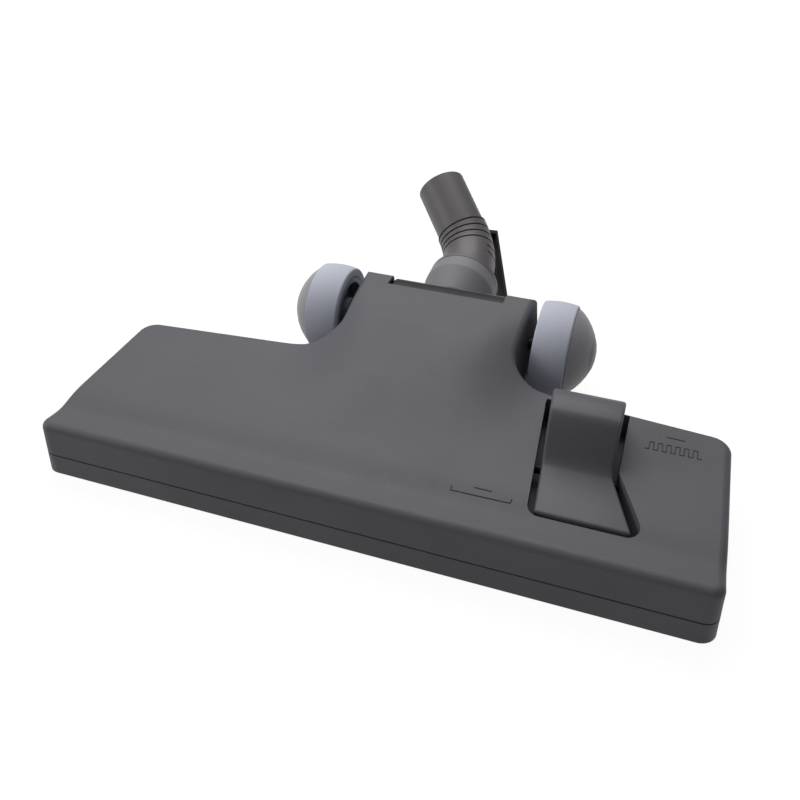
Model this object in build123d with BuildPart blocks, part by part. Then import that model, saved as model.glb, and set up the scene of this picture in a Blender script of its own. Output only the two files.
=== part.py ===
"""Combination floor nozzle of a canister vacuum cleaner, standing on its sole and two rear wheels.

X runs along the width, +Y to the rear, +Z up. The origin is the middle of the sole plate's underside.
"""
import os
from math import cos, exp, radians, sin, tan

from build123d import *

os.makedirs("parts", exist_ok=True)

# Head: plan and wall
head_width = 370.0
head_depth = 116.0
rear_sweep = 11.0
front_corner = 9.0
rear_corner = 14.0
wall = 2.5
running_gap = 0.4
shaft_gap = 0.05

# Head: heights above the floor
sole_thickness = 1.0
tray_floor = 2.5
parting_height = 14.0
seam_height = 0.9
seam_depth = 0.8
crest_height = 34.5
trough_depth = 2.6
trough_setback = 20.0
trough_spread = 11.0
neck_rise = 19.5
edge_round = 4.5
draft = 5.0

# Neck
neck_front_half = 58.0
neck_rear_half = 62.5
neck_length = 196.0
neck_corner = 18.0
neck_start = 12.0
neck_flat = 14.0
neck_foot = 86.0
notch_half = 38.5
notch_setback = 178.0
chamber_setback = 165.0

# Wheels and axle line
axle_setback = 174.0
wheel_radius = 30.0
wheel_inner = 63.5
tyre_width = 21.5
tyre_depth = 7.0
tyre_crown = 1.2
cap_depth = 13.4
cap_waist = 9.2
cap_waist_radius = 21.6
cap_radius = 27.0
cap_disc = 12.5
disc_groove = 0.8
axle_radius = 4.0
boss_radius = 7.0
clip_thickness = 1.0

# Tilt knuckle and swivel
tilt_setback = 187.0
tilt_height = 30.0
journal_radius = 4.5
journal_length = 5.0
drum_radius = 20.0
drum_wall = 2.5
knuckle_rise = 6.0
throat_start = 8.0
throat_radius = 17.0
collar_radius = 24.5
collar_start = 27.5
collar_end = 37.5
spigot_radius = 19.0
spigot_length = 13.0

# Elbow, turned to the left on its swivel
swivel_turn = 54.0
bend_angle = 47.0
bend_radius = 57.0
skirt_height = 3.0
dome_height = 9.0
bend_outer = 18.6
tube_outer = 17.5
socket_radius = 16.0
socket_depth = 34.0
duct_radius = 15.0
tube_length = 41.0
groove_count = 4
short_grooves = 2
groove_width = 1.3
groove_depth = 1.1
groove_pitch = 6.0
hook_width = 16.0
hook_thickness = 3.0
hook_standoff = 7.0

# Pedal
pedal_x = 104.0
pedal_width = 40.0
toe_left = 91.0
toe_right = 140.0
pedal_front = 28.0
pedal_rear = 112.0
pedal_gap = 3.4
pedal_rear_gap = 3.6
pedal_plate = 32.0
pedal_crest = 46.0
pedal_under = 28.0
pivot_setback = 66.0
pivot_height = 25.0
pin_radius = 2.5
well_floor = 18.0
well_floor_thickness = 1.8

# Brush, suction mouth and sole
brush_length = 316.0
bristle_width = 5.0
bristle_clearance = 1.0
carrier_bottom = 10.5
carrier_height = 4.0
carrier_bar = 9.0
link_width = 5.0
post_length = 9.0
post_width = 6.0
post_gap = 0.4
front_brush_y = -40.0
rear_brush_y = 26.0
bristle_tip = 0.9
mouth_length = 300.0
mouth_front = -28.0
mouth_rear = -5.0
channel_wall = 1.5
channel_height = 14.5
duct_half = 36.0
duct_floor = 17.0
duct_front_top = 28.5
duct_rear_top = 44.0
seal_thickness = 3.0
sole_inset = 4.0
screw_x = 172.0
screw_y = 46.0
screw_radius = 1.6
screw_head = 3.2
screw_length = 14.0

# Places worked out from the sizes above
front_y = -head_depth / 2
rear_y = head_depth / 2
half_width = head_width / 2
neck_y = front_y + neck_length
axle_y = front_y + axle_setback
axle_z = wheel_radius
tilt_y = front_y + tilt_setback
notch_y = front_y + notch_setback
chamber_y = front_y + chamber_setback
floor_top = sole_thickness + tray_floor
pivot_y = front_y + pivot_setback
tall = crest_height + neck_rise + wheel_radius
band_draft = (parting_height - sole_thickness) * tan(radians(draft))


def ease(value):
    """Smooth step from 0 to 1, flat and straight at both ends."""
    step = min(max(value, 0.0), 1.0)
    return step ** 3 * (step * (6.0 * step - 15.0) + 10.0)


def skin_height(x, y):
    """Height of the moulded top over the plan: rounded nose, trough, flat wings and the rising neck."""
    back = y - front_y
    dip = trough_depth * exp(-(((back - trough_setback) / trough_spread) ** 2))
    share = min(max(back / neck_length, 0.0), 1.0)
    rise = neck_rise * ease((back - neck_start) / (axle_setback - neck_start))
    flat_half = neck_flat + (neck_rear_half - neck_flat) * share ** 4
    foot_half = neck_foot + neck_rear_half * share ** 6
    side = 1.0 - ease((abs(x) - flat_half) / (foot_half - flat_half))
    return crest_height - dip + rise * side


def mound(drop):
    """Everything under the moulded top surface, lofted across the head and lowered by drop."""
    stations = 31
    places = 23
    margin = wall + edge_round
    with BuildPart() as body:
        for station in range(stations):
            x = (half_width + margin) * (2.0 * station / (stations - 1) - 1.0)
            line = []
            for place in range(places):
                y = front_y - margin + (neck_length + 2.0 * margin) * place / (places - 1)
                line.append((y, skin_height(x, y) - drop))
            with BuildSketch(Plane.YZ.offset(x)):
                with BuildLine():
                    Spline(*line)
                    Polyline(line[-1], (line[-1][0], 0), (line[0][0], 0), line[0])
                make_face()
        loft()
    return body.part


# Plan of the head: swept rear edges that run into the sides of the neck
with BuildSketch() as head_plan:
    with BuildLine():
        right_side = [
            (0, front_y),
            (half_width, front_y),
            (half_width, rear_y),
            (neck_front_half, rear_y + rear_sweep),
            (neck_rear_half, neck_y),
            (0, neck_y),
        ]
        Polyline(*right_side)
        mirror(about=Plane.YZ)
    make_face()
    corners = head_plan.vertices()
    fillet(corners.filter_by_position(Axis.Y, front_y - 1, front_y + 1).filter_by(lambda v: abs(v.X) > 1), front_corner)
    fillet(head_plan.vertices().filter_by(lambda v: abs(v.X) > half_width - 1 and v.Y > rear_y - 1), rear_corner)
    inner_corner = rear_y + rear_sweep
    fillet(head_plan.vertices().filter_by(lambda v: abs(v.Y - inner_corner) < 0.01), neck_corner)

# Plan of the pedal: the toe is wider and swept outwards
with BuildSketch() as pedal_plan:
    with BuildLine():
        half = pedal_width / 2
        toe_y = front_y + pedal_front
        heel_y = front_y + pedal_rear
        Polyline(
            (toe_left, toe_y),
            (toe_right, toe_y),
            (pedal_x + half, pivot_y),
            (pedal_x + half, heel_y),
            (pedal_x - half, heel_y),
            close=True,
        )
    make_face()
    fillet(pedal_plan.vertices().sort_by(Axis.Y)[:2], 3.0)
    fillet(pedal_plan.vertices().sort_by(Axis.Y)[-2:], 5.0)

# Plan of the well around the pedal, with more room behind the heel
with BuildSketch() as well_plan:
    offset(pedal_plan.sketch, amount=pedal_gap)
    with Locations((pedal_x, heel_y)):
        Rectangle(pedal_width + 2 * pedal_gap, 2 * pedal_rear_gap)

# Hollow of the top cover: everything but the cheeks beside the knuckle, the pedal well and the screw posts
with BuildPart() as hollow:
    with BuildSketch(Plane.XY.offset(parting_height - wall)):
        offset(head_plan.sketch, amount=-band_draft - wall)
    extrude(amount=tall, taper=draft)
    add(mound(wall), mode=Mode.INTERSECT)
    with BuildSketch(Plane.XY):
        with Locations((notch_half + head_width / 2, chamber_y + neck_length / 2)):
            Rectangle(head_width, neck_length)
        with Locations((-notch_half - head_width / 2, chamber_y + neck_length / 2)):
            Rectangle(head_width, neck_length)
        offset(well_plan.sketch, amount=wall)
        with GridLocations(2 * screw_x, 2 * screw_y, 2, 2):
            Circle(boss_radius / 2 + wall / 2)
    extrude(amount=2 * tall, mode=Mode.SUBTRACT)

# Top cover
with BuildPart() as top_cover:
    with BuildSketch(Plane.XY.offset(parting_height)):
        offset(head_plan.sketch, amount=-band_draft)
    extrude(amount=tall, taper=draft)
    add(mound(0.0), mode=Mode.INTERSECT)
    fillet(top_cover.faces().filter_by(GeomType.BSPLINE).sort_by(Axis.Z)[-1].edges(), edge_round)
    add(hollow.part, mode=Mode.SUBTRACT)
    with BuildSketch(Plane.XY.offset(parting_height - wall)):
        with Locations((0, notch_y + neck_length / 2)):
            Rectangle(2 * notch_half, neck_length)
    extrude(amount=2 * tall, mode=Mode.SUBTRACT)
    with BuildSketch(Plane.XY.offset(well_floor)):
        add(well_plan.sketch)
    extrude(amount=tall, mode=Mode.SUBTRACT)
    with BuildSketch(Plane.XY.offset(parting_height - wall)):
        offset(well_plan.sketch, amount=wall)
    extrude(amount=well_floor - well_floor_thickness - parting_height + wall, mode=Mode.SUBTRACT)
    with BuildSketch(Plane.XY.offset(parting_height)):
        with Locations((pedal_x, rear_brush_y)):
            Rectangle(post_length + 2 * bristle_clearance, post_width + 2 * bristle_clearance)
    extrude(amount=well_floor - parting_height, mode=Mode.SUBTRACT)
    with BuildSketch(Plane.YZ.offset(pedal_x)):
        with Locations((pivot_y, pivot_height)):
            Circle(pin_radius + shaft_gap)
    extrude(amount=pedal_width / 2 + pedal_gap + wall, both=True, mode=Mode.SUBTRACT)
    with BuildSketch(Plane.YZ):
        with Locations((tilt_y, tilt_height)):
            Circle(journal_radius + shaft_gap)
    extrude(amount=notch_half + journal_length + running_gap, both=True, mode=Mode.SUBTRACT)
    for side in (-1, 1):
        with BuildSketch(Plane.YZ.offset(side * (notch_half + journal_length))):
            with Locations((axle_y, axle_z)):
                Circle(axle_radius + shaft_gap)
        extrude(amount=side * (neck_rear_half - notch_half), mode=Mode.SUBTRACT)
    with BuildSketch(Plane.XY.offset(parting_height)):
        with GridLocations(2 * screw_x, 2 * screw_y, 2, 2):
            Circle(screw_radius + shaft_gap)
    extrude(amount=screw_length + sole_thickness + 1.0 - parting_height, mode=Mode.SUBTRACT)
top_cover.part.label = "top_cover"
export_step(top_cover.part, "parts/top_cover.step")

# Base frame: lower band and tray, with the mouth, two brush slots and an open rear under the knuckle
with BuildPart() as base_frame:
    with BuildSketch(Plane.XY.offset(sole_thickness)):
        add(head_plan.sketch)
    extrude(amount=parting_height - sole_thickness - seam_height, taper=draft)
    with BuildSketch(Plane.XY.offset(parting_height - seam_height)):
        offset(head_plan.sketch, amount=-band_draft - seam_depth)
    extrude(amount=seam_height)
    with BuildSketch(Plane.XY.offset(floor_top)):
        offset(head_plan.sketch, amount=-band_draft - wall)
        with GridLocations(2 * screw_x, 2 * screw_y, 2, 2):
            Circle(boss_radius / 2 + wall / 2, mode=Mode.SUBTRACT)
    extrude(amount=tall, mode=Mode.SUBTRACT)
    with BuildSketch(Plane.XY):
        with Locations((0, (mouth_front + mouth_rear) / 2)):
            Rectangle(mouth_length, mouth_rear - mouth_front)
        with Locations((0, front_brush_y), (0, rear_brush_y)):
            Rectangle(brush_length + 2 * bristle_clearance, bristle_width + 2 * bristle_clearance)
        with GridLocations(2 * screw_x, 2 * screw_y, 2, 2):
            Circle(screw_radius + shaft_gap)
    extrude(amount=tall, mode=Mode.SUBTRACT)
    with BuildSketch(Plane.XY.offset(floor_top)):
        with Locations((0, notch_y + neck_length / 2)):
            Rectangle(2 * notch_half, neck_length)
    extrude(amount=tall, mode=Mode.SUBTRACT)
base_frame.part.label = "base_frame"
export_step(base_frame.part, "parts/base_frame.step")

# Sole plate: pressed steel glide with the mouth, brush slots, lint windows and screw holes
lint_length = 46.0
lint_width = 7.0
lint_x = 118.0
lint_y = (mouth_rear + rear_brush_y - bristle_width) / 2
with BuildPart() as sole_plate:
    with BuildSketch():
        RectangleRounded(head_width - 2 * sole_inset, head_depth - 2 * sole_inset, front_corner)
        with Locations((0, (mouth_front + mouth_rear) / 2)):
            Rectangle(mouth_length, mouth_rear - mouth_front, mode=Mode.SUBTRACT)
        with Locations((0, front_brush_y), (0, rear_brush_y)):
            Rectangle(brush_length + 2 * bristle_clearance, bristle_width + 2 * bristle_clearance, mode=Mode.SUBTRACT)
        with Locations((-lint_x, lint_y), (lint_x, lint_y)):
            Rectangle(lint_length + running_gap, lint_width + running_gap, mode=Mode.SUBTRACT)
        with GridLocations(2 * screw_x, 2 * screw_y, 2, 2):
            Circle(screw_head + running_gap, mode=Mode.SUBTRACT)
    extrude(amount=sole_thickness)
sole_plate.part.label = "sole_plate"
export_step(sole_plate.part, "parts/sole_plate.step")

# Lint strips: pile pads let into the sole behind the mouth
with BuildPart() as lint_strips:
    with BuildSketch():
        with Locations((-lint_x, lint_y), (lint_x, lint_y)):
            Rectangle(lint_length, lint_width)
    extrude(amount=sole_thickness)
lint_strips.part.label = "lint_strips"
export_step(lint_strips.part, "parts/lint_strips.step")

# Screws that hold the base frame to the posts of the cover
with BuildPart() as sole_screws:
    with BuildSketch(Plane.XY.offset(bristle_tip - sole_thickness / 2)):
        with GridLocations(2 * screw_x, 2 * screw_y, 2, 2):
            Circle(screw_head)
    extrude(amount=sole_thickness - bristle_tip + sole_thickness / 2)
    with BuildSketch(Plane.XY.offset(sole_thickness)):
        with GridLocations(2 * screw_x, 2 * screw_y, 2, 2):
            Circle(screw_radius)
    extrude(amount=screw_length)
sole_screws.part.label = "sole_screws"
export_step(sole_screws.part, "parts/sole_screws.step")

# Suction channel: shallow hood over the mouth that rises into a duct leading back to the knuckle
duct_rear = chamber_y - seal_thickness
hood_front = mouth_front - channel_wall
hood_rear = mouth_rear + channel_wall
with BuildPart() as suction_channel:
    with BuildSketch(Plane.XY.offset(floor_top)):
        with Locations((0, (mouth_front + mouth_rear) / 2)):
            Rectangle(mouth_length + 2 * channel_wall, hood_rear - hood_front)
    extrude(amount=channel_height - floor_top)
    with BuildSketch(Plane.YZ):
        with BuildLine():
            Polyline(
                (hood_front, floor_top),
                (hood_front, duct_front_top),
                (hood_rear, duct_front_top),
                (duct_rear, duct_rear_top),
                (duct_rear, duct_floor),
                (hood_rear, duct_floor),
                (hood_rear, floor_top),
                close=True,
            )
        make_face()
    extrude(amount=duct_half, both=True)
    with BuildSketch(Plane.XY.offset(floor_top)):
        with Locations((0, (mouth_front + mouth_rear) / 2)):
            Rectangle(mouth_length, mouth_rear - mouth_front)
    extrude(amount=channel_height - floor_top - channel_wall, mode=Mode.SUBTRACT)
    with BuildSketch(Plane.YZ):
        with BuildLine():
            Polyline(
                (mouth_front, floor_top),
                (mouth_front, duct_front_top - channel_wall),
                (hood_rear, duct_front_top - channel_wall),
                (duct_rear, duct_rear_top - channel_wall),
                (duct_rear, duct_floor + channel_wall),
                (mouth_rear, duct_floor + channel_wall),
                (mouth_rear, floor_top),
                close=True,
            )
        make_face()
    extrude(amount=duct_half - channel_wall, both=True, mode=Mode.SUBTRACT)
suction_channel.part.label = "suction_channel"
export_step(suction_channel.part, "parts/suction_channel.step")

# Duct seal: foam frame between the duct's rear end and the drum of the knuckle
with BuildPart() as duct_seal:
    with BuildSketch(Plane.XZ.offset(-duct_rear)):
        with Locations((0, (duct_floor + duct_rear_top) / 2)):
            Rectangle(2 * duct_half, duct_rear_top - duct_floor)
            Rectangle(2 * duct_half - 4 * channel_wall, duct_rear_top - duct_floor - 4 * channel_wall, mode=Mode.SUBTRACT)
    extrude(amount=-seal_thickness)
duct_seal.part.label = "duct_seal"
export_step(duct_seal.part, "parts/duct_seal.step")

# Brush carrier: two bars, end links and the push post under the pedal's heel
with BuildPart() as brush_carrier:
    with BuildSketch(Plane.XY.offset(carrier_bottom)):
        with Locations((0, front_brush_y), (0, rear_brush_y)):
            Rectangle(brush_length + 2 * link_width, carrier_bar)
        with Locations(((brush_length + link_width) / 2, (front_brush_y + rear_brush_y) / 2)):
            Rectangle(link_width, rear_brush_y - front_brush_y)
        with Locations((-(brush_length + link_width) / 2, (front_brush_y + rear_brush_y) / 2)):
            Rectangle(link_width, rear_brush_y - front_brush_y)
    extrude(amount=carrier_height)
    with BuildSketch(Plane.XY.offset(carrier_bottom)):
        with Locations((pedal_x, rear_brush_y)):
            Rectangle(post_length, post_width)
    extrude(amount=pedal_under - post_gap - carrier_bottom)
brush_carrier.part.label = "brush_carrier"
export_step(brush_carrier.part, "parts/brush_carrier.step")

# Bristle strips: rows of tufts under a backing strip
tuft_count = 44
backing = 1.5
for strip_name, strip_y in (("front_bristles", front_brush_y), ("rear_bristles", rear_brush_y)):
    with BuildPart() as bristles:
        with BuildSketch(Plane.XY.offset(carrier_bottom - backing)):
            with Locations((0, strip_y)):
                Rectangle(brush_length, bristle_width)
        extrude(amount=backing)
        with BuildSketch(Plane.XY.offset(bristle_tip)):
            with Locations((0, strip_y)):
                with GridLocations(brush_length / tuft_count, bristle_width, tuft_count, 1):
                    Rectangle(0.7 * brush_length / tuft_count, 0.8 * bristle_width)
        extrude(amount=carrier_bottom - backing - bristle_tip)
    bristles.part.label = strip_name
    export_step(bristles.part, f"parts/{strip_name}.step")

# Pedal: flat toe plate, concave rise and a rolled heel, on a pivot boss
knee_y = pivot_y + 5.0
brow_y = heel_y - 18.0
with BuildPart() as pedal:
    with BuildSketch(Plane.YZ.offset(pedal_x)):
        with BuildLine():
            Line((toe_y, pedal_plate), (knee_y, pedal_plate + 1.0))
            Spline(
                (knee_y, pedal_plate + 1.0),
                (brow_y, pedal_crest),
                tangents=((1.0, 0.03), (1.0, 0.12)),
                tangent_scalars=(1.1, 1.1),
            )
            ThreePointArc((brow_y, pedal_crest), (heel_y - 6.0, pedal_crest + 0.4), (heel_y, pedal_crest - 5.0))
            Polyline(
                (heel_y, pedal_crest - 5.0),
                (heel_y, pedal_under + 5.0),
                (knee_y + 18.0, pedal_under),
                (toe_y, pedal_under),
                (toe_y, pedal_plate),
            )
        make_face()
    extrude(amount=pedal_width, both=True)
    with BuildSketch(Plane.YZ.offset(pedal_x)):
        with Locations((pivot_y, pivot_height)):
            Circle(2 * pin_radius)
        with Locations((pivot_y, (pivot_height + pedal_under) / 2 + 1.0)):
            Rectangle(4 * pin_radius, pedal_under - pivot_height + 2.0)
    extrude(amount=pedal_width, both=True)
    with BuildSketch(Plane.XY):
        add(pedal_plan.sketch)
    extrude(amount=tall, mode=Mode.INTERSECT)
    with BuildSketch(Plane.YZ.offset(pedal_x)):
        with Locations((pivot_y, pivot_height)):
            Circle(pin_radius + shaft_gap)
    extrude(amount=pedal_width, both=True, mode=Mode.SUBTRACT)
pedal.part.label = "pedal"
export_step(pedal.part, "parts/pedal.step")

# Pedal pin, held in the walls of the well
with BuildPart() as pedal_pin:
    with BuildSketch(Plane.YZ.offset(pedal_x)):
        with Locations((pivot_y, pivot_height)):
            Circle(pin_radius)
    extrude(amount=pedal_width / 2 + pedal_gap + wall, both=True)
pedal_pin.part.label = "pedal_pin"
export_step(pedal_pin.part, "parts/pedal_pin.step")

# Pedal spring: bent leaf between the floor of the well and the toe plate
leaf = 0.6
leaf_width = 12.0
with BuildPart() as pedal_spring:
    with BuildSketch(Plane.YZ.offset(pedal_x)):
        with BuildLine():
            Polyline(
                (toe_y + 4.0, well_floor),
                (toe_y + 14.0, well_floor),
                (pivot_y - 8.0, pedal_under - running_gap - leaf),
                (pivot_y - 8.0, pedal_under - running_gap),
                (toe_y + 13.7, well_floor + leaf),
                (toe_y + 4.0, well_floor + leaf),
                close=True,
            )
        make_face()
    extrude(amount=leaf_width / 2, both=True)
pedal_spring.part.label = "pedal_spring"
export_step(pedal_spring.part, "parts/pedal_spring.step")

# Tilt knuckle: hollow drum on two journals, with the collar of the swivel
tilt_point = Vector(0, tilt_y, tilt_height)
swivel_axis = Vector(0, cos(radians(knuckle_rise)), sin(radians(knuckle_rise)))
knuckle_plane = Plane(origin=tilt_point, x_dir=(1, 0, 0), z_dir=swivel_axis)
drum_half = notch_half - 2 * running_gap
clip_groove = collar_start + 1.0
clip_width = 1.6
clip_depth = 1.3
with BuildPart() as tilt_knuckle:
    with BuildSketch(Plane.YZ):
        with Locations((tilt_y, tilt_height)):
            Circle(drum_radius)
    extrude(amount=drum_half, both=True)
    with BuildSketch(Plane.YZ):
        with Locations((tilt_y, tilt_height)):
            Circle(journal_radius)
    extrude(amount=notch_half + journal_length, both=True)
    with BuildSketch(knuckle_plane.offset(throat_start)):
        Circle(throat_radius)
    with BuildSketch(knuckle_plane.offset(collar_start)):
        Circle(collar_radius)
    loft()
    with BuildSketch(knuckle_plane.offset(collar_start)):
        Circle(collar_radius)
    extrude(amount=collar_end - collar_start)
    with BuildSketch(Plane.YZ):
        with Locations((tilt_y, tilt_height)):
            Circle(drum_radius - drum_wall)
    extrude(amount=drum_half - drum_wall, both=True, mode=Mode.SUBTRACT)
    with BuildSketch(knuckle_plane):
        Circle(duct_radius)
    extrude(amount=collar_end, mode=Mode.SUBTRACT)
    with BuildSketch(knuckle_plane.offset(collar_end - spigot_length - running_gap)):
        Circle(spigot_radius + running_gap)
    extrude(amount=spigot_length + 1.0, mode=Mode.SUBTRACT)
    with BuildSketch(knuckle_plane.offset(clip_groove - running_gap)):
        Circle(spigot_radius + clip_depth + 2 * running_gap)
    extrude(amount=clip_width + 2 * running_gap, mode=Mode.SUBTRACT)
    with BuildSketch(Plane.XY.offset(tilt_height - drum_radius / 2)):
        with Locations((0, tilt_y - drum_radius)):
            Rectangle(2 * drum_half - 16.0, drum_radius)
    extrude(amount=drum_radius, mode=Mode.SUBTRACT)
tilt_knuckle.part.label = "tilt_knuckle"
export_step(tilt_knuckle.part, "parts/tilt_knuckle.step")

# Elbow, turned about the swivel axis
upright = Vector(0, -sin(radians(knuckle_rise)), cos(radians(knuckle_rise)))
lean = Vector(-sin(radians(swivel_turn)), 0, 0) + upright * cos(radians(swivel_turn))
elbow_base = tilt_point + swivel_axis * (collar_end + running_gap)
elbow_plane = Plane(origin=elbow_base, x_dir=lean, z_dir=swivel_axis)
bend_plane = Plane(origin=elbow_base, x_dir=lean, z_dir=lean.cross(swivel_axis))
with BuildLine(bend_plane) as bend_path:
    bend_arc = CenterArc((bend_radius, dome_height), bend_radius, 180, -bend_angle)
bend_start = Plane(origin=bend_arc @ 0, x_dir=lean, z_dir=swivel_axis)
bend_end = Plane(origin=bend_arc @ 1, x_dir=bend_plane.z_dir, z_dir=bend_arc % 1)
arc_length = radians(bend_angle) * bend_radius


def elbow_outside(grow):
    """Outer form of the elbow's skirt, dome and bend, grown by a clearance."""
    with BuildPart() as body:
        with BuildSketch(bend_plane):
            with BuildLine():
                skirt = collar_radius + grow
                throat = bend_outer + grow
                Polyline((0, dome_height), (0, 0), (skirt, 0), (skirt, skirt_height))
                RadiusArc((skirt, skirt_height), (throat, dome_height), dome_height)
                Line((throat, dome_height), (0, dome_height))
            make_face()
        revolve(axis=Axis(elbow_base, swivel_axis))
        with BuildSketch(bend_start):
            Circle(bend_outer + grow)
        sweep(path=bend_path.line)
    return body.part


with BuildPart() as elbow:
    add(elbow_outside(0.0))
    with BuildSketch(bend_end):
        Circle(tube_outer)
    extrude(amount=tube_length)
    with BuildSketch(elbow_plane):
        Circle(spigot_radius)
    extrude(amount=-spigot_length)
    with BuildSketch(elbow_plane.offset(clip_groove - collar_end - running_gap)):
        Circle(spigot_radius + 1.0)
        Circle(spigot_radius - clip_depth - shaft_gap, mode=Mode.SUBTRACT)
    extrude(amount=clip_width + shaft_gap, mode=Mode.SUBTRACT)
    with BuildSketch(bend_start):
        Circle(duct_radius)
    sweep(path=bend_path.line, mode=Mode.SUBTRACT)
    with BuildSketch(bend_start):
        Circle(duct_radius)
    extrude(amount=-dome_height - spigot_length, mode=Mode.SUBTRACT)
    with BuildSketch(bend_end):
        Circle(duct_radius)
    extrude(amount=tube_length, mode=Mode.SUBTRACT)
    with BuildSketch(bend_end.offset(tube_length - socket_depth)):
        Circle(socket_radius)
    extrude(amount=socket_depth, mode=Mode.SUBTRACT)
    for index in range(groove_count + short_grooves):
        station = 1.0 - (groove_width + index * groove_pitch) / arc_length
        ring_plane = Plane(origin=bend_arc @ station, x_dir=bend_plane.z_dir, z_dir=bend_arc % station)
        with BuildSketch(ring_plane):
            Circle(bend_outer + 1.0)
            Circle(bend_outer - groove_depth, mode=Mode.SUBTRACT)
            if index >= groove_count:
                with Locations((0, bend_outer)):
                    Rectangle(4 * bend_outer, 2 * bend_outer + index, mode=Mode.SUBTRACT)
        extrude(amount=groove_width / 2, both=True, mode=Mode.SUBTRACT)
elbow.part.label = "elbow"
export_step(elbow.part, "parts/elbow.step")

# Swivel clip: snap ring that keeps the spigot in the collar
with BuildPart() as swivel_clip:
    with BuildSketch(elbow_plane.offset(clip_groove - collar_end - running_gap + shaft_gap / 2)):
        Circle(spigot_radius + clip_depth)
        Circle(spigot_radius - clip_depth, mode=Mode.SUBTRACT)
    extrude(amount=clip_width)
swivel_clip.part.label = "swivel_clip"
export_step(swivel_clip.part, "parts/swivel_clip.step")

# Parking hook: tongue that stands off the outside of the bend, with a foot at each end
with BuildPart() as parking_hook:
    with BuildSketch(bend_plane):
        with BuildLine():
            crown = bend_radius + bend_outer
            top_angle = radians(0.95 * bend_angle)
            out = Vector(-cos(top_angle), sin(top_angle))
            along = Vector(sin(top_angle), cos(top_angle))
            top = Vector(bend_radius, dome_height) + out * crown
            foot = Vector(-collar_radius, 0.4 * skirt_height)
            heel_out = foot + Vector(-hook_standoff - hook_thickness, 1.6 * skirt_height)
            heel_in = foot + Vector(-hook_standoff, 1.6 * skirt_height + 1.0)
            tip_out = top + out * (hook_standoff + hook_thickness)
            tip_in = top + out * hook_standoff - along * hook_thickness
            Polyline(
                top - out * 3.0,
                tip_out,
                heel_out,
                foot,
                foot + Vector(4.0, hook_thickness),
                foot + Vector(-1.0, hook_thickness + 1.0),
                heel_in,
                tip_in,
                top - out * 3.0 - along * hook_thickness,
                close=True,
            )
        make_face()
    extrude(amount=hook_width / 2, both=True)
    add(elbow_outside(shaft_gap), mode=Mode.SUBTRACT)
parking_hook.part.label = "parking_hook"
export_step(parking_hook.part, "parts/parking_hook.step")

# Wheels: hub, soft tyre and domed cap on each side, on a pin held by the cheek, with a clip outside the hub
wheel_outer = wheel_inner + tyre_width
rim_radius = wheel_radius - tyre_depth
rim_depth = 3.0
web = 4.0
hub_boss = 9.0
hub_outer = wheel_outer - 1.0
cap_wall = 2.0
axle_point = Vector(0, axle_y, axle_z)
axle_line = Axis(axle_point, (1, 0, 0))
for side_name, side in (("left", -1), ("right", 1)):
    wheel_plane = Plane(origin=axle_point, x_dir=(side, 0, 0), z_dir=(0, -side, 0))

    with BuildPart() as tyre:
        with BuildSketch(wheel_plane) as tread:
            with BuildLine():
                shoulder = wheel_radius - tyre_crown
                Polyline(
                    (wheel_inner, shoulder),
                    (wheel_inner, rim_radius),
                    (wheel_outer, rim_radius),
                    (wheel_outer, shoulder),
                )
                ThreePointArc(
                    (wheel_outer, shoulder),
                    ((wheel_inner + wheel_outer) / 2, wheel_radius),
                    (wheel_inner, shoulder),
                )
            make_face()
            fillet(tread.vertices().group_by(Axis.Z)[-1], tyre_crown)
        revolve(axis=axle_line)
    tyre.part.label = f"{side_name}_tyre"
    export_step(tyre.part, f"parts/{side_name}_tyre.step")

    with BuildPart() as hub:
        with BuildSketch(wheel_plane):
            bore = axle_radius + shaft_gap
            rim = rim_radius - 2 * shaft_gap
            middle = (wheel_inner + hub_outer) / 2
            with BuildLine():
                Polyline(
                    (wheel_inner, bore),
                    (hub_outer, bore),
                    (hub_outer, hub_boss),
                    (middle + web / 2, hub_boss),
                    (middle + web / 2, rim - rim_depth),
                    (hub_outer, rim - rim_depth),
                    (hub_outer, rim),
                    (wheel_inner, rim),
                    (wheel_inner, rim - rim_depth),
                    (middle - web / 2, rim - rim_depth),
                    (middle - web / 2, hub_boss),
                    (wheel_inner, hub_boss),
                    close=True,
                )
            make_face()
        revolve(axis=axle_line)
    hub.part.label = f"{side_name}_hub"
    export_step(hub.part, f"parts/{side_name}_hub.step")

    with BuildPart() as cap:
        with BuildSketch(wheel_plane):
            base = wheel_outer + running_gap
            crown_x = wheel_outer + cap_depth
            skirt_out = rim
            skirt_in = rim - cap_wall
            with BuildLine():
                waist_x = wheel_outer + cap_waist
                ThreePointArc((base, cap_radius), (waist_x, cap_waist_radius), (crown_x, cap_disc))
                Polyline(
                    (crown_x, cap_disc),
                    (crown_x - disc_groove, cap_disc),
                    (crown_x - disc_groove, cap_disc - disc_groove),
                    (crown_x, cap_disc - disc_groove),
                    (crown_x, 0),
                    (crown_x - cap_wall, 0),
                    (crown_x - cap_wall, cap_disc - 2 * disc_groove),
                    (base + cap_wall + 2.0, skirt_in),
                    (hub_outer, skirt_in),
                    (hub_outer, skirt_out),
                    (base, skirt_out),
                    (base, cap_radius),
                )
            make_face()
        revolve(axis=axle_line)
    cap.part.label = f"{side_name}_cap"
    export_step(cap.part, f"parts/{side_name}_cap.step")

    with BuildPart() as axle:
        with BuildSketch(Plane.YZ.offset(side * (notch_half + journal_length + 1.0))):
            with Locations((axle_y, axle_z)):
                Circle(axle_radius)
        extrude(amount=side * (hub_outer + 2 * clip_thickness - notch_half - journal_length))
    axle.part.label = f"{side_name}_axle"
    export_step(axle.part, f"parts/{side_name}_axle.step")

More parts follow.
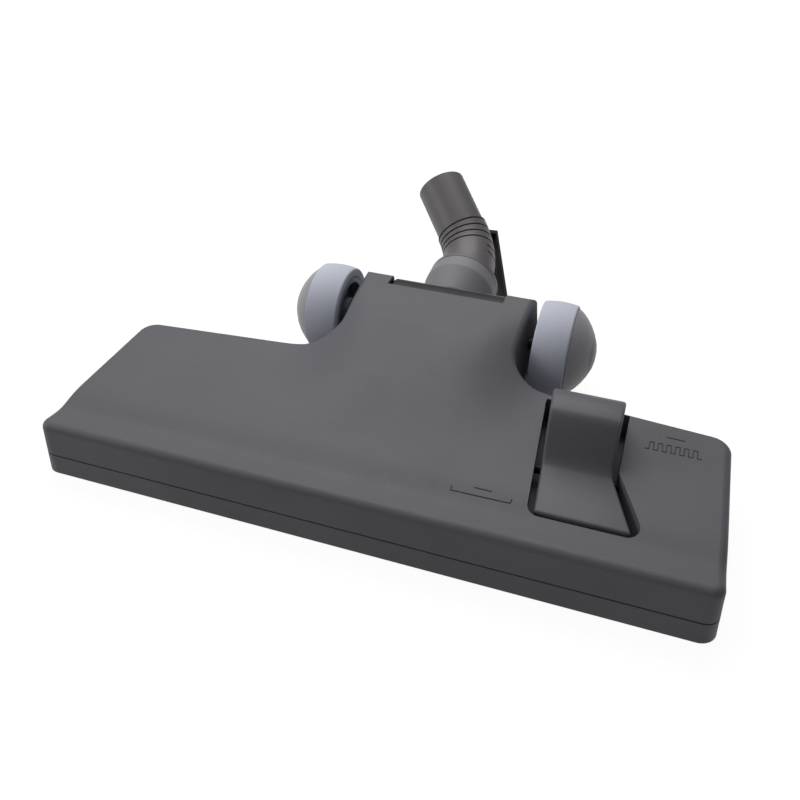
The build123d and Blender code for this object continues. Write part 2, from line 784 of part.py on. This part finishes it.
with BuildPart() as axle_clips:
    for side in (-1, 1):
        with BuildSketch(Plane.YZ.offset(side * (hub_outer + running_gap))):
            with Locations((axle_y, axle_z)):
                Circle(boss_radius)
                Circle(axle_radius + shaft_gap, mode=Mode.SUBTRACT)
        extrude(amount=side * clip_thickness)
axle_clips.part.label = "axle_clips"
export_step(axle_clips.part, "parts/axle_clips.step")
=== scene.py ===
"""Floor brush of a canister vacuum cleaner: looks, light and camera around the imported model."""
import math
import random

import bpy
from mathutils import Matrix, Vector


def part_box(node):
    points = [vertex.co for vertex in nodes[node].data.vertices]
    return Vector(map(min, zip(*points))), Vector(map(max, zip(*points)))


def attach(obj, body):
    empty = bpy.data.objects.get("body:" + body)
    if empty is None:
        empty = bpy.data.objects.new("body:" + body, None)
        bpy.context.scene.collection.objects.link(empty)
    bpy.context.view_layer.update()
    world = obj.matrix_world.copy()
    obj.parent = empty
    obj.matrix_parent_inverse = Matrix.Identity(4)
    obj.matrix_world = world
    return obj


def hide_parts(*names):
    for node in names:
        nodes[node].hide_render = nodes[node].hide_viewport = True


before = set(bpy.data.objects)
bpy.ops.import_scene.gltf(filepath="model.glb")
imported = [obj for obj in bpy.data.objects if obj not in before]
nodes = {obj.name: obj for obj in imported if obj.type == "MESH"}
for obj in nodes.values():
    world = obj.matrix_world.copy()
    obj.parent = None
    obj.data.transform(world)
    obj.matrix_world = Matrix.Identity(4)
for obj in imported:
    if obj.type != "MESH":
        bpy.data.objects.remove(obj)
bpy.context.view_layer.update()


# Top cover: the moulded shell of the head, with its nose, trough and rising neck.
# It is injection-moulded ABS with a fine spark-eroded grain, screwed to the base frame from below.
# The grain spreads every highlight wide and leaves tiny light and dark specks.
millimetre = 0.001


def linear(hex_colour):
    """Linear colour of an sRGB hex value."""
    channels = [int(hex_colour[i:i + 2], 16) / 255 for i in (1, 3, 5)]
    return [c / 12.92 if c <= 0.04045 else ((c + 0.055) / 1.055) ** 2.4 for c in channels] + [1.0]


def add_node(tree, kind, inputs=(), **settings):
    """Adds a node with its settings, and links or sets its inputs, given as (socket, value or output).

    A socket is a name or a number. A Mix node takes colours at 6 and 7 and gives one at 2,
    and takes plain values at 2 and 3 and gives one at 0.
    """
    made = tree.nodes.new(kind)
    for name, value in settings.items():
        setattr(made, name, value)
    for socket, value in inputs:
        if isinstance(value, bpy.types.NodeSocket):
            tree.links.new(value, made.inputs[socket])
        else:
            made.inputs[socket].default_value = value
    return made


def new_material(name):
    """A material with an empty node tree, and that tree."""
    material = bpy.data.materials.new(name)
    material.use_nodes = True
    material.node_tree.nodes.clear()
    return material, material.node_tree


def dress(node_name, material):
    """Gives a CAD node one material in place of its own."""
    mesh = nodes[node_name].data
    mesh.materials.clear()
    mesh.materials.append(material)


def moulded_plastic(name, colour, worn, grain_mm, grain_depth_mm, roughness, sheen_spread):
    """Injection-moulded plastic: grained skin, slight cloudiness of the pigment and rubbed spots."""
    cloud_mm = 45.0
    material, tree = new_material(name)
    place = add_node(tree, "ShaderNodeTexCoord").outputs["Object"]
    grain = add_node(tree, "ShaderNodeTexNoise", [
        ("Vector", place), ("Scale", 1 / (grain_mm * millimetre)), ("Detail", 2.0), ("Roughness", 0.55)])
    cloud = add_node(tree, "ShaderNodeTexNoise", [
        ("Vector", place), ("Scale", 1 / (cloud_mm * millimetre)), ("Detail", 4.0), ("Roughness", 0.6)])
    tint = add_node(tree, "ShaderNodeMix", [
        ("Factor", cloud.outputs["Fac"]), (6, linear(colour)), (7, linear(worn))], data_type="RGBA")
    speck = add_node(tree, "ShaderNodeMapRange", [
        ("Value", grain.outputs["Fac"]), ("From Min", 0.3), ("From Max", 0.7),
        ("To Min", 0.93), ("To Max", 1.06)])
    specked = add_node(tree, "ShaderNodeVectorMath", [
        (0, tint.outputs[2]), ("Scale", speck.outputs["Result"])], operation="SCALE")
    rough = add_node(tree, "ShaderNodeMapRange", [
        ("Value", cloud.outputs["Fac"]), ("From Min", 0.3), ("From Max", 0.7),
        ("To Min", roughness - sheen_spread), ("To Max", roughness + sheen_spread)])
    bump = add_node(tree, "ShaderNodeBump", [
        ("Height", grain.outputs["Fac"]), ("Strength", 0.35), ("Distance", grain_depth_mm * millimetre)])
    shader = add_node(tree, "ShaderNodeBsdfPrincipled", [
        ("Base Color", specked.outputs["Vector"]), ("Roughness", rough.outputs["Result"]),
        ("Normal", bump.outputs["Normal"]), ("IOR", 1.54), ("Specular IOR Level", 0.35)])
    add_node(tree, "ShaderNodeOutputMaterial", [("Surface", shader.outputs["BSDF"])])
    return material


# The real grain is about 0.2 mm, too fine to show at this size, so it is drawn at 0.9 mm.
cover_plastic = moulded_plastic(
    "grained_abs_cover", "#605f64", "#656469",
    grain_mm=0.9, grain_depth_mm=0.06, roughness=0.58, sheen_spread=0.05)
dress("top_cover", cover_plastic)


# Symbols on the cover: two plain signs for the pedal's ends, brush out at the rear and brush in at the front.
# They are thin lines of ABS, moulded with the cover and standing a little proud of it.
# They are coloured darker than the cover as painted shade, standing in for the shading along the raised
# lines.
line_radius = 0.33 * millimetre
# The dark colour of these lines is painted shade, not the colour of the ABS.
symbol_painted_shade_plastic = moulded_plastic(
    "grained_abs_symbol_painted_shade", "#3a393d", "#434246",
    grain_mm=0.6, grain_depth_mm=0.04, roughness=0.6, sheen_spread=0.04)


def on_cover(x_mm, y_mm):
    """The point of the cover under a place in plan, both in millimetres."""
    above = Vector((x_mm * millimetre, y_mm * millimetre, 0.2))
    found, place, _, _ = nodes["top_cover"].ray_cast(above, Vector((0, 0, -1)))
    return place if found else above


def drawn_path(name, points):
    """A chain of edges through points, drawn by pulling one vertex along, and left in edit mode."""
    bpy.ops.object.select_all(action="DESELECT")
    bpy.ops.mesh.primitive_plane_add(size=millimetre, location=(0, 0, 0))
    chain = bpy.context.object
    chain.name = name
    bpy.ops.object.mode_set(mode="EDIT")
    bpy.ops.mesh.select_all(action="SELECT")
    bpy.ops.mesh.merge(type="CENTER")
    bpy.ops.transform.translate(value=points[0])
    for start, end in zip(points, points[1:]):
        bpy.ops.mesh.extrude_region_move(TRANSFORM_OT_translate={"value": end - start})
    return chain


def moulded_line(name, corners_mm):
    """A round ridge, half sunk in the cover, along corners given in plan."""
    ridge = drawn_path(name, [on_cover(*corner) for corner in corners_mm])
    bpy.ops.object.mode_set(mode="OBJECT")
    bpy.ops.object.convert(target="CURVE")
    ridge.data.bevel_depth = line_radius
    ridge.data.bevel_resolution = 2
    ridge.data.use_fill_caps = True
    bpy.ops.object.convert(target="MESH")
    ridge.data.materials.clear()
    ridge.data.materials.append(symbol_painted_shade_plastic)
    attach(ridge, "head")


wave_strokes = 13
wave_start_x, wave_pitch = 137.7, 2.25
wave_near_y, wave_far_y = 32.5, 38.6
bristle_wave = []
for stroke in range(wave_strokes):
    stroke_y = wave_near_y if stroke % 2 == 0 else wave_far_y
    bristle_wave += [(wave_start_x + wave_pitch * stroke, stroke_y),
                     (wave_start_x + wave_pitch * (stroke + 1), stroke_y)]
flat_tray = [
    (48.4, -27.6), (48.7, -30.1), (56.0, -30.0), (64.0, -29.9), (72.0, -29.8), (79.1, -29.7), (79.4, -27.2)]
bar_over_wave = [(148.3, 45.2), (157.9, 44.8)]
bar_over_tray = [(59.8, -25.4), (68.7, -25.4)]
moulded_line("sign_brush_out", bristle_wave)
moulded_line("sign_brush_out_bar", bar_over_wave)
moulded_line("sign_brush_in", flat_tray)
moulded_line("sign_brush_in_bar", bar_over_tray)


# Base frame: the lower band and tray under the parting line, moulded in the same ABS.
# Its side is a little smoother than the cover, and it meets the cover in a narrow shadow seam.
band_plastic = moulded_plastic(
    "grained_abs_band", "#5c5b60", "#626166",
    grain_mm=0.8, grain_depth_mm=0.05, roughness=0.55, sheen_spread=0.05)
dress("base_frame", band_plastic)


# Suction channel and brush carrier: black polypropylene mouldings inside the head, seen only from below.
# They are left as moulded, with a smooth slightly waxy skin.
inner_plastic = moulded_plastic(
    "smooth_polypropylene", "#232326", "#2a2a2d",
    grain_mm=1.6, grain_depth_mm=0.03, roughness=0.42, sheen_spread=0.06)
dress("suction_channel", inner_plastic)
dress("brush_carrier", inner_plastic)


# Pedal: a rocking plate with a low toe, a steep face and a rolled heel to step on.
# One ABS moulding with a finer grain than the cover's, which rocks on a pin under its plate.
# Its side outline is drawn and pulled to its width, then cut by its plan and rounded at every edge.
def drawn_prism(name, outline, pull):
    """A closed solid from an outline pulled along a vector."""
    solid = drawn_path(name, outline + outline[:1])
    bpy.ops.mesh.select_all(action="SELECT")
    bpy.ops.mesh.remove_doubles(threshold=0.01 * millimetre)
    bpy.ops.mesh.edge_face_add()
    bpy.ops.mesh.extrude_region_move(TRANSFORM_OT_translate={"value": pull})
    bpy.ops.mesh.select_all(action="SELECT")
    bpy.ops.mesh.normals_make_consistent(inside=False)
    bpy.ops.object.mode_set(mode="OBJECT")
    return solid


pedal_plastic = moulded_plastic(
    "grained_abs_pedal", "#5e5d62", "#646368",
    grain_mm=0.7, grain_depth_mm=0.05, roughness=0.52, sheen_spread=0.06)
pedal_low, pedal_high = [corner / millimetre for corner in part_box("pedal")]
pin_low, pin_high = [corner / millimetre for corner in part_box("pedal_pin")]
pin_middle = (pin_low + pin_high) / 2
pedal_left, pedal_right = 84.0, 124.0
toe_left = 91.0
toe_bend_y, toe_rise = -12.0, 0.3
plate_under, plate_top = 28.0, 32.0
knee_y, knee_rise = 3.0, 0.8
brow_y, brow_rise = 21.0, 25.5
heel_roll = [(25.0, 59.1), (30.0, 59.4), (35.0, 58.6), (40.0, 56.2), (45.0, 51.5), (49.5, 44.0), (52.5, 36.0)]
heel_foot_z, heel_under_y = 33.0, 31.0
edge_round = 1.6
face_steps = 10
pedal_side = [(pedal_low.y, plate_under), (pedal_low.y, plate_top), (toe_bend_y, plate_top + toe_rise)]
for step in range(face_steps + 1):
    share = step / face_steps
    face_y = knee_y + share * (brow_y - knee_y)
    face_z = plate_top + knee_rise + brow_rise * share ** 2 * (3 - 2 * share)
    pedal_side.append((face_y, face_z))
pedal_side += heel_roll + [(pedal_high.y, heel_foot_z), (heel_under_y, plate_under)]
pedal_plan = [
    (toe_left, pedal_low.y), (pedal_high.x, pedal_low.y), (pedal_right, pin_middle.y),
    (pedal_right, pedal_high.y), (pedal_left, pedal_high.y)]
# Both blanks reach past the finished pedal, so that each cuts the other cleanly.
side_blank_x, side_blank_width = 80.0, 64
plan_blank_z, plan_blank_height = 20.0, 45
stepped = drawn_prism(
    "pedal_shaped", [Vector((side_blank_x, y, z)) * millimetre for y, z in pedal_side],
    Vector((side_blank_width * millimetre, 0, 0)))
cutter = drawn_prism(
    "pedal_plan", [Vector((x, y, plan_blank_z)) * millimetre for x, y in pedal_plan],
    Vector((0, 0, plan_blank_height * millimetre)))
bpy.ops.object.select_all(action="DESELECT")
bpy.context.view_layer.objects.active = stepped
stepped.select_set(True)
cut = stepped.modifiers.new("plan", "BOOLEAN")
cut.operation = "INTERSECT"
cut.solver = "EXACT"
cut.object = cutter
bpy.ops.object.modifier_apply(modifier=cut.name)
bpy.data.objects.remove(cutter)
rounding = stepped.modifiers.new("rounding", "BEVEL")
rounding.width = edge_round * millimetre
rounding.segments = 4
rounding.limit_method = "ANGLE"
rounding.angle_limit = math.radians(35)
bpy.ops.object.modifier_apply(modifier=rounding.name)
bpy.ops.object.shade_smooth_by_angle(angle=math.radians(40))
stepped.data.materials.clear()
stepped.data.materials.append(pedal_plastic)
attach(stepped, "pedal")
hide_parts("pedal")
dress("pedal", pedal_plastic)


# Tilt knuckle: ABS drum that rocks between the cheeks of the neck, with the swivel's collar behind it.
# One moulding, held by the journals at its ends. The collar has the cover's grain.
# The front of the drum is painted near black as painted shade for the shadow inside the slot of the neck,
# where it shows as a dark bar.
knuckle_plastic = moulded_plastic(
    "grained_abs_knuckle_with_painted_shade", "#858489", "#8c8b90",
    grain_mm=0.8, grain_depth_mm=0.05, roughness=0.55, sheen_spread=0.05)
# Painted shade: the drum is coloured near black from its front back to this depth, in place of the slot's
# shadow.
painted_shade_depth = 28 * millimetre
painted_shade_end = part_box("tilt_knuckle")[0].y + painted_shade_depth
knuckle_tree = knuckle_plastic.node_tree
knuckle_shader = knuckle_tree.nodes["Principled BSDF"]
grained = knuckle_shader.inputs["Base Color"].links[0].from_socket
place_along = add_node(knuckle_tree, "ShaderNodeSeparateXYZ", [
    ("Vector", add_node(knuckle_tree, "ShaderNodeTexCoord").outputs["Object"])])
past_painted_shade = add_node(knuckle_tree, "ShaderNodeMapRange", [
    ("Value", place_along.outputs["Y"]), ("From Min", painted_shade_end - millimetre),
    ("From Max", painted_shade_end + millimetre)])
drum_painted_shade = add_node(knuckle_tree, "ShaderNodeMix", [
    ("Factor", past_painted_shade.outputs["Result"]), (6, linear("#131314")), (7, grained)], data_type="RGBA")
knuckle_tree.links.new(drum_painted_shade.outputs[2], knuckle_shader.inputs["Base Color"])
dress("tilt_knuckle", knuckle_plastic)


# Elbow: the ribbed bend and plain tube that take the end of the wand.
# It is satin polypropylene with a brownish tone, moulded in one and held on the knuckle by a steel clip.
elbow_plastic = moulded_plastic(
    "satin_polypropylene_elbow", "#686467", "#706c6f",
    grain_mm=1.2, grain_depth_mm=0.03, roughness=0.44, sheen_spread=0.05)
dress("elbow", elbow_plastic)


# Parking hook: the tongue that hangs the brush on the cleaner's body.
# It is black satin polypropylene, moulded by itself and fixed to the outside of the bend.
hook_plastic = moulded_plastic(
    "satin_polypropylene_hook", "#2a2829", "#353233",
    grain_mm=1.0, grain_depth_mm=0.03, roughness=0.46, sheen_spread=0.05)
dress("parking_hook", hook_plastic)


# Wheels: blue-grey thermoplastic rubber tyres on grey ABS hubs, with domed ABS caps, turning on steel axles.
# The rubber is powdery and very matt, and the plastics have a satin skin.
# Each cap's outline is drawn from its rim to its middle and spun about the axle.
def soft_rubber(name, colour, worn, roughness):
    """Moulded thermoplastic rubber: powdery, very matt, faintly mottled by dust."""
    dust_mm, skin_mm, skin_depth_mm = 6.0, 0.8, 0.05
    material, tree = new_material(name)
    place = add_node(tree, "ShaderNodeTexCoord").outputs["Object"]
    dust = add_node(tree, "ShaderNodeTexNoise", [
        ("Vector", place), ("Scale", 1 / (dust_mm * millimetre)), ("Detail", 5.0), ("Roughness", 0.6)])
    skin = add_node(tree, "ShaderNodeTexNoise", [
        ("Vector", place), ("Scale", 1 / (skin_mm * millimetre)), ("Detail", 2.0)])
    tint = add_node(tree, "ShaderNodeMix", [
        ("Factor", dust.outputs["Fac"]), (6, linear(colour)), (7, linear(worn))], data_type="RGBA")
    rough = add_node(tree, "ShaderNodeMapRange", [
        ("Value", dust.outputs["Fac"]), ("To Min", roughness - 0.08), ("To Max", roughness + 0.08)])
    bump = add_node(tree, "ShaderNodeBump", [
        ("Height", skin.outputs["Fac"]), ("Strength", 0.25), ("Distance", skin_depth_mm * millimetre)])
    shader = add_node(tree, "ShaderNodeBsdfPrincipled", [
        ("Base Color", tint.outputs[2]), ("Roughness", rough.outputs["Result"]),
        ("Normal", bump.outputs["Normal"]), ("IOR", 1.5)])
    add_node(tree, "ShaderNodeOutputMaterial", [("Surface", shader.outputs["BSDF"])])
    return material


tyre_rubber = soft_rubber("matt_rubber_tyre", "#c6cad8", "#cdd1de", roughness=0.78)
hub_plastic = moulded_plastic(
    "smooth_abs_hub", "#858a96", "#8d929e",
    grain_mm=1.2, grain_depth_mm=0.03, roughness=0.5, sheen_spread=0.05)
cap_plastic = moulded_plastic(
    "satin_abs_cap", "#a3a2a6", "#abaaae",
    grain_mm=0.9, grain_depth_mm=0.04, roughness=0.5, sheen_spread=0.05)
cap_depth = 15.5
cap_steps = 72
# Each point is the depth out from the tyre's side and the radius, with a fine step round the middle disc.
cap_outline = [(0.0, 27.0), (0.6, 27.2), (3.4, 25.2), (6.6, 22.0), (9.6, 18.0), (11.9, 14.0), (12.6, 12.6),
               (12.0, 12.4), (12.2, 11.9), (13.2, 11.2), (14.6, 7.5), (15.3, 3.5), (cap_depth, 0.0)]
for side_name, outward in (("left", -1), ("right", 1)):
    dress(side_name + "_tyre", tyre_rubber)
    dress(side_name + "_hub", hub_plastic)
    dress(side_name + "_cap", cap_plastic)
    tyre_low, tyre_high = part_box(side_name + "_tyre")
    axle = (tyre_low + tyre_high) / 2
    rim_x = tyre_high.x if outward > 0 else tyre_low.x
    domed = drawn_path(side_name + "_cap_domed", [
        Vector((rim_x + outward * depth * millimetre, axle.y, axle.z + radius * millimetre))
        for depth, radius in cap_outline])
    bpy.ops.mesh.select_all(action="SELECT")
    bpy.ops.mesh.spin(steps=cap_steps, angle=2 * math.pi, center=axle, axis=(1, 0, 0))
    bpy.ops.mesh.select_all(action="SELECT")
    bpy.ops.mesh.remove_doubles(threshold=0.02 * millimetre)
    bpy.ops.mesh.normals_make_consistent(inside=False)
    bpy.ops.object.mode_set(mode="OBJECT")
    bpy.ops.object.shade_smooth_by_angle(angle=math.radians(35))
    domed.data.materials.clear()
    domed.data.materials.append(cap_plastic)
    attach(domed, side_name + "_wheel")
    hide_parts(side_name + "_cap")


# Steel parts: the sole plate, its screws, and the axles, clips, pins and springs.
# The sole is rolled stainless steel, the screws are zinc plated, and the small drawn parts are blackened.
# Rolling and drawing leave fine streaks along the width and a soft wide highlight.
def drawn_steel(name, colour, worn, streak_mm, roughness):
    """Cold-rolled steel: fine streaks along the width and a soft wide highlight."""
    streak_depth_mm = 0.02
    material, tree = new_material(name)
    place = add_node(tree, "ShaderNodeTexCoord").outputs["Object"]
    stretched = add_node(tree, "ShaderNodeMapping", [("Vector", place), ("Scale", (0.03, 1.0, 1.0))])
    streak = add_node(tree, "ShaderNodeTexNoise", [
        ("Vector", stretched.outputs["Vector"]), ("Scale", 1 / (streak_mm * millimetre)), ("Detail", 3.0)])
    tint = add_node(tree, "ShaderNodeMix", [
        ("Factor", streak.outputs["Fac"]), (6, linear(colour)), (7, linear(worn))], data_type="RGBA")
    rough = add_node(tree, "ShaderNodeMapRange", [
        ("Value", streak.outputs["Fac"]), ("To Min", roughness - 0.07), ("To Max", roughness + 0.09)])
    bump = add_node(tree, "ShaderNodeBump", [
        ("Height", streak.outputs["Fac"]), ("Strength", 0.12), ("Distance", streak_depth_mm * millimetre)])
    shader = add_node(tree, "ShaderNodeBsdfPrincipled", [
        ("Base Color", tint.outputs[2]), ("Metallic", 1.0), ("Roughness", rough.outputs["Result"]),
        ("Normal", bump.outputs["Normal"])])
    add_node(tree, "ShaderNodeOutputMaterial", [("Surface", shader.outputs["BSDF"])])
    return material


sole_steel = drawn_steel("rolled_stainless_sole", "#b3b4b6", "#c2c3c5", streak_mm=0.9, roughness=0.32)
pin_steel = drawn_steel("blackened_steel_pin", "#2c2c2e", "#363638", streak_mm=0.7, roughness=0.42)
screw_steel = drawn_steel("zinc_plated_screw", "#a4a5a8", "#b4b5b8", streak_mm=0.7, roughness=0.28)
dress("sole_plate", sole_steel)
dress("sole_screws", screw_steel)
for steel_node in ("left_axle", "right_axle", "axle_clips", "pedal_pin", "pedal_spring", "swivel_clip"):
    dress(steel_node, pin_steel)


# Bristles: two rows of black nylon tufts that drop when the pedal is rocked.
# Each tuft is a ring of tapered strands, set in a thin backing strip that sits in the brush carrier.
# A strand is one narrow cone, copied with small changes of angle and spread.
nylon = moulded_plastic(
    "black_nylon_bristle", "#1d1d1f", "#262628",
    grain_mm=1.5, grain_depth_mm=0.02, roughness=0.4, sheen_spread=0.05)
tuft_count = 44
tuft_radius = 1.7 * millimetre
strands = 9
strand_sides = 5
strand_root, strand_tip = 0.28 * millimetre, 0.12 * millimetre
backing_height = 1.5 * millimetre
backing_edge = 0.3 * millimetre
draw = random.Random(7)
for strip in ("front_bristles", "rear_bristles"):
    low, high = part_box(strip)
    middle = (low + high) / 2
    pitch = (high.x - low.x) / tuft_count
    bpy.ops.object.select_all(action="DESELECT")
    bpy.ops.mesh.primitive_cone_add(
        vertices=strand_sides, radius1=strand_root, radius2=strand_tip, depth=high.z - low.z)
    strand = bpy.context.object
    bpy.ops.object.mode_set(mode="EDIT")
    bpy.ops.mesh.select_all(action="SELECT")
    bpy.ops.transform.rotate(value=math.pi, orient_axis="X", center_override=(0, 0, 0))
    bpy.ops.mesh.normals_make_consistent(inside=False)
    bpy.ops.object.mode_set(mode="OBJECT")
    copies = []
    for tuft in range(tuft_count):
        for turn in range(strands):
            angle = 2 * math.pi * turn / strands + draw.uniform(-0.2, 0.2)
            spread = (0.35 + 0.6 * draw.random()) * tuft_radius
            one = strand.copy()
            one.data = strand.data.copy()
            one.location = (low.x + pitch * (tuft + 0.5) + spread * math.cos(angle),
                            middle.y + spread * math.sin(angle), middle.z)
            bpy.context.scene.collection.objects.link(one)
            copies.append(one)
    bpy.data.objects.remove(strand)
    bpy.ops.object.select_all(action="DESELECT")
    bpy.ops.mesh.primitive_cube_add(size=1.0, location=(middle.x, middle.y, high.z - backing_height / 2))
    backing = bpy.context.object
    backing.scale = (high.x - low.x, high.y - low.y, backing_height)
    bpy.ops.object.transform_apply(location=False, rotation=False, scale=True)
    bpy.ops.object.mode_set(mode="EDIT")
    bpy.ops.mesh.select_all(action="SELECT")
    bpy.ops.mesh.bevel(offset=backing_edge, segments=2)
    bpy.ops.object.mode_set(mode="OBJECT")
    for one in copies:
        one.select_set(True)
    bpy.context.view_layer.objects.active = backing
    bpy.ops.object.join()
    bpy.ops.object.transform_apply(location=True, rotation=True, scale=True)
    backing.name = strip + "_tufts"
    backing.data.materials.clear()
    backing.data.materials.append(nylon)
    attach(backing, "brush_lift")
    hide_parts(strip)


# Lint strips and duct seal: the soft parts that lie against the floor and around the air duct.
# The strips are short red pile glued beside the mouth, and the seal is black open-cell foam.
# Both are very matt and faintly mottled, like the rubber of the tyres.
pile = soft_rubber("red_pile_lint", "#6b2329", "#7c2c33", roughness=0.9)
foam = soft_rubber("black_foam_seal", "#242426", "#2d2d30", roughness=0.92)
dress("lint_strips", pile)
dress("duct_seal", foam)


# Floor: a sheet of white paper under the brush.
# The camera and reflections see it almost white with the brush's shadow, and other light finds it dim,
# so that it doesn't light the underside of the brush.
floor_width = 8.0
glow_share, glow_strength = 0.85, 1.1
bpy.ops.object.select_all(action="DESELECT")
bpy.ops.mesh.primitive_plane_add(size=floor_width, location=(0, 0, 0))
floor = bpy.context.object
floor.name = "floor"
floor_paper, floor_tree = new_material("white_paper_floor")
ray = add_node(floor_tree, "ShaderNodeLightPath")
seen = add_node(floor_tree, "ShaderNodeMath", [
    (0, ray.outputs["Is Camera Ray"]), (1, ray.outputs["Is Glossy Ray"])], operation="MAXIMUM")
seen_through = add_node(floor_tree, "ShaderNodeMath", [
    (0, seen.outputs["Value"]), (1, ray.outputs["Is Transmission Ray"])], operation="MAXIMUM")
paper = add_node(floor_tree, "ShaderNodeBsdfDiffuse", [("Color", linear("#f2f2f2"))])
white = add_node(floor_tree, "ShaderNodeEmission", [("Color", (1, 1, 1, 1)), ("Strength", glow_strength)])
bright = add_node(floor_tree, "ShaderNodeMixShader", [
    (0, glow_share), (1, paper.outputs["BSDF"]), (2, white.outputs["Emission"])])
dim = add_node(floor_tree, "ShaderNodeBsdfDiffuse", [("Color", linear("#8c8c8e"))])
by_ray = add_node(floor_tree, "ShaderNodeMixShader", [
    (0, seen_through.outputs["Value"]), (1, dim.outputs["BSDF"]), (2, bright.outputs["Shader"])])
add_node(floor_tree, "ShaderNodeOutputMaterial", [("Surface", by_ray.outputs["Shader"])])
floor.data.materials.append(floor_paper)


# Backdrop and lamps: a white studio with one large soft box behind and above, and a weaker one on the left.
# The world is white to the camera and only a faint fill to everything else.
# The front of the head therefore stays darker than its top.
world_fill, world_white = 0.2, 1.0
world = bpy.data.worlds.new("studio")
bpy.context.scene.world = world
world.use_nodes = True
world.node_tree.nodes.clear()
world_ray = add_node(world.node_tree, "ShaderNodeLightPath")
backdrop = add_node(world.node_tree, "ShaderNodeMix", [
    ("Factor", world_ray.outputs["Is Camera Ray"]), (2, world_fill), (3, world_white)], data_type="FLOAT")
sky = add_node(world.node_tree, "ShaderNodeBackground", [
    ("Color", (1, 1, 1, 1)), ("Strength", backdrop.outputs[0])])
add_node(world.node_tree, "ShaderNodeOutputWorld", [("Surface", sky.outputs["Background"])])


def soft_box(name, place, target, width, height, watts):
    """A rectangular studio lamp that faces a point."""
    lamp = bpy.data.lights.new(name, "AREA")
    lamp.shape = "RECTANGLE"
    lamp.size = width
    lamp.size_y = height
    lamp.energy = watts
    holder = bpy.data.objects.new(name, lamp)
    bpy.context.scene.collection.objects.link(holder)
    holder.location = place
    holder.rotation_euler = (Vector(target) - Vector(place)).to_track_quat("-Z", "Y").to_euler()


soft_box("overhead", place=(-0.3, 0.75, 1.15), target=(0, 0.05, 0.03), width=1.2, height=1.0, watts=13.0)
soft_box("left_fill", place=(-1.3, -0.35, 0.6), target=(0, 0, 0.03), width=0.8, height=0.8, watts=6.0)


# Camera: above the pedal side of the nose, looking down and across the head to the elbow.
# Its place, angles and lens were fitted to the edges of the brush in the photograph.
camera_place = (0.12076, -0.31762, 0.32108)
camera_tilt, camera_turn = math.radians(52.0), math.radians(19.0)
camera_data = bpy.data.cameras.new("camera")
camera_data.sensor_width = 36.0
camera_data.lens = 36.64
camera_data.clip_start = 0.01
camera = bpy.data.objects.new("camera", camera_data)
bpy.context.scene.collection.objects.link(camera)
camera.location = camera_place
camera.rotation_euler = (camera_tilt, 0.0, camera_turn)
bpy.context.scene.camera = camera
bpy.context.scene.view_settings.view_transform = "Standard"
